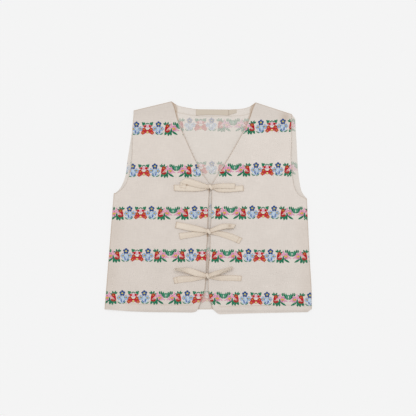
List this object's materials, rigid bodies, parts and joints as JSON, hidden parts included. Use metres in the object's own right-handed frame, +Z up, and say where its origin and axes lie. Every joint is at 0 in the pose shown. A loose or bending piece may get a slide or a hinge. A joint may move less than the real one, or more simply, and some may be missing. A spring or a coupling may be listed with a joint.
{
  "type": "embroidered waistcoat",
  "caption": "Sleeveless V-neck waistcoat of natural linen with bands of floral embroidery, laid flat, its fronts tied together with tape bows.",
  "frame": {"origin": "middle of the laid garment's outline, on the surface it lies on", "axes": "+Z up from the surface, +Y from the hem to the neck, +X towards the wearer's left side"},
  "size_m": [0.3852, 0.3957, 0.0176],
  "materials": {
    "natural_linen": "plain-weave natural linen with bands of coloured floss embroidery",
    "linen_tape": "folded self-cloth tape, slightly creamier than the body",
    "woven_label": "blank woven label, satin ground"
  },
  "bodies": {
    "root": {"back": "natural_linen", "front_right": "natural_linen", "front_left": "natural_linen", "neck_label": "woven_label", "size_label": "woven_label", "tie_1_knot": "linen_tape", "tie_1_loop_left": "linen_tape", "tie_1_loop_right": "linen_tape", "tie_1_root_left": "linen_tape", "tie_1_root_right": "linen_tape", "tie_1_tail_left": "linen_tape", "tie_1_tail_right": "linen_tape", "tie_2_knot": "linen_tape", "tie_2_loop_left": "linen_tape", "tie_2_loop_right": "linen_tape", "tie_2_root_left": "linen_tape", "tie_2_root_right": "linen_tape", "tie_2_tail_left": "linen_tape", "tie_2_tail_right": "linen_tape", "tie_3_knot": "linen_tape", "tie_3_loop_left": "linen_tape", "tie_3_loop_right": "linen_tape", "tie_3_root_left": "linen_tape", "tie_3_root_right": "linen_tape", "tie_3_tail_left": "linen_tape", "tie_3_tail_right": "linen_tape"}
  },
  "joints": []
}
